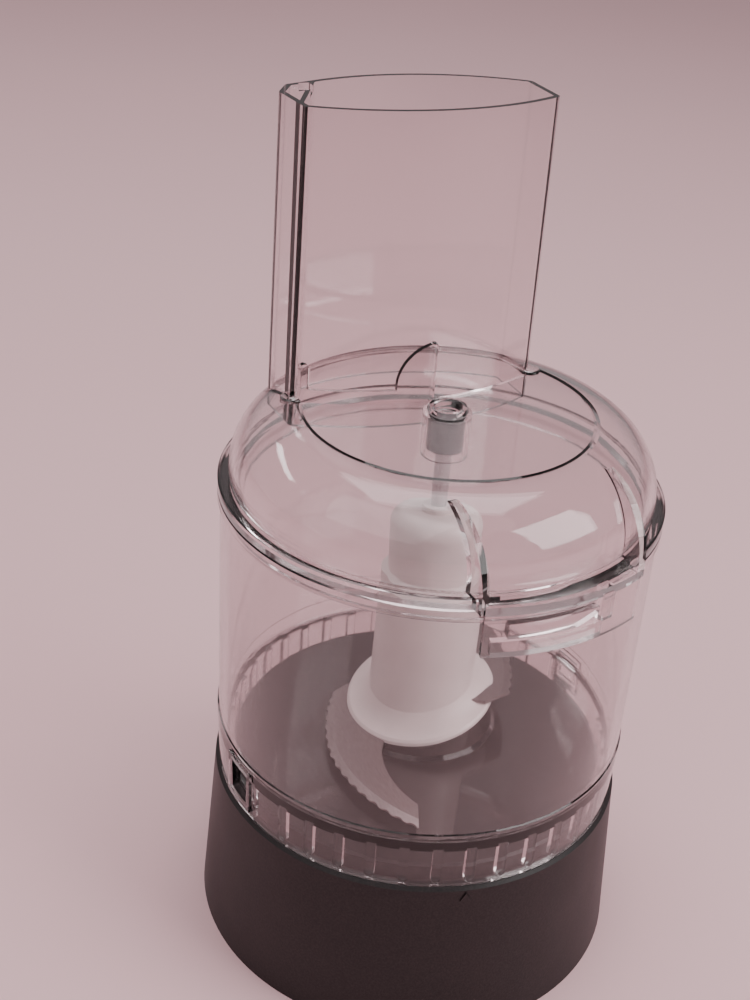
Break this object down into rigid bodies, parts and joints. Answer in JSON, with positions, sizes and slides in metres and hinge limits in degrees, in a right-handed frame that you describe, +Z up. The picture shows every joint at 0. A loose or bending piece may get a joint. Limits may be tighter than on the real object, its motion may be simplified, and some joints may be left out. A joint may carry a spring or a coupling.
{
  "type": "food processor",
  "caption": "Clear round chopping bowl with a twist-lock domed cover, wide feed tube and S-blade, on a dark conical reduction-gear drive collar.",
  "frame": {"origin": "centre of the motor seat's mouth, in the plane of the collar's bottom rim", "axes": "+Z up along the spindle; +Y towards the feed tube (back); -Y towards the cover's latch (front); millimetres in the source"},
  "size_m": [0.1396, 0.1412, 0.267],
  "materials": {
    "charcoal_plastic": "matte, fine texture",
    "black_plastic": "matte",
    "zinc_steel": "zinc plated",
    "black_rubber": "matte",
    "gear_nylon": "satin",
    "spring_steel": "oiled",
    "bronze": "sintered",
    "clear_plastic": "polished",
    "shaft_steel": "ground",
    "carrier_steel": "machined",
    "white_plastic": "satin",
    "grey_plastic": "satin",
    "blade_steel": "ground, satin",
    "coupling_plastic": "satin"
  },
  "bodies": {
    "collar": {"collar_housing": "charcoal_plastic", "bottom_plate": "black_plastic", "bottom_plate_screws": "zinc_steel", "gearbox_gasket": "black_rubber", "ring_gear": "gear_nylon", "ring_gear_clip": "spring_steel", "input_bearing": "bronze", "output_bearing": "bronze", "spindle_seal": "black_rubber"},
    "bowl": {"bowl": "clear_plastic"},
    "lid": {"lid_cover": "clear_plastic", "feed_tube": "clear_plastic"},
    "output": {"drive_spindle": "shaft_steel", "spindle_clip": "spring_steel", "planet_carrier": "carrier_steel", "planet_pins": "shaft_steel", "blade_hub": "white_plastic", "hub_insert": "grey_plastic", "hub_pin": "shaft_steel", "hub_tip": "grey_plastic", "lower_blade": "blade_steel", "upper_blade": "blade_steel"},
    "input": {"drive_coupling": "coupling_plastic", "input_shaft": "shaft_steel", "input_clip": "spring_steel", "sun_gear": "carrier_steel"},
    "planet_1": {"planet_gear_1": "gear_nylon", "planet_bush_1": "bronze"},
    "planet_2": {"planet_gear_2": "gear_nylon", "planet_bush_2": "bronze"},
    "planet_3": {"planet_gear_3": "gear_nylon", "planet_bush_3": "bronze"}
  },
  "joints": [
    {"name": "bowl_twist", "type": "hinge", "parent": "collar", "child": "bowl", "pos_m": [0, 0, 0.06], "axis": [0, 0, 1], "range_deg": [0, 25]},
    {"name": "lid_twist", "type": "hinge", "parent": "bowl", "child": "lid", "pos_m": [0, 0, 0.156], "axis": [0, 0, 1], "range_deg": [0, 28]},
    {"name": "blade_spin", "type": "hinge", "parent": "collar", "child": "output", "pos_m": [0, 0, 0.05], "axis": [0, 0, 1], "continuous": true},
    {"name": "input_spin", "type": "hinge", "parent": "collar", "child": "input", "pos_m": [0, 0, 0.03], "axis": [0, 0, 1], "continuous": true},
    {"name": "planet_1_spin", "type": "hinge", "parent": "output", "child": "planet_1", "pos_m": [0.015, 0, 0.038], "axis": [0, 0, 1], "continuous": true},
    {"name": "planet_2_spin", "type": "hinge", "parent": "output", "child": "planet_2", "pos_m": [-0.0075, 0.01299, 0.038], "axis": [0, 0, 1], "continuous": true},
    {"name": "planet_3_spin", "type": "hinge", "parent": "output", "child": "planet_3", "pos_m": [-0.0075, -0.01299, 0.038], "axis": [0, 0, 1], "continuous": true}
  ],
  "couplings": [
    {"joint": "input_spin", "follows": "blade_spin", "ratio": 5},
    {"joint": "planet_1_spin", "follows": "blade_spin", "ratio": -2.6667},
    {"joint": "planet_2_spin", "follows": "blade_spin", "ratio": -2.6667},
    {"joint": "planet_3_spin", "follows": "blade_spin", "ratio": -2.6667}
  ]
}
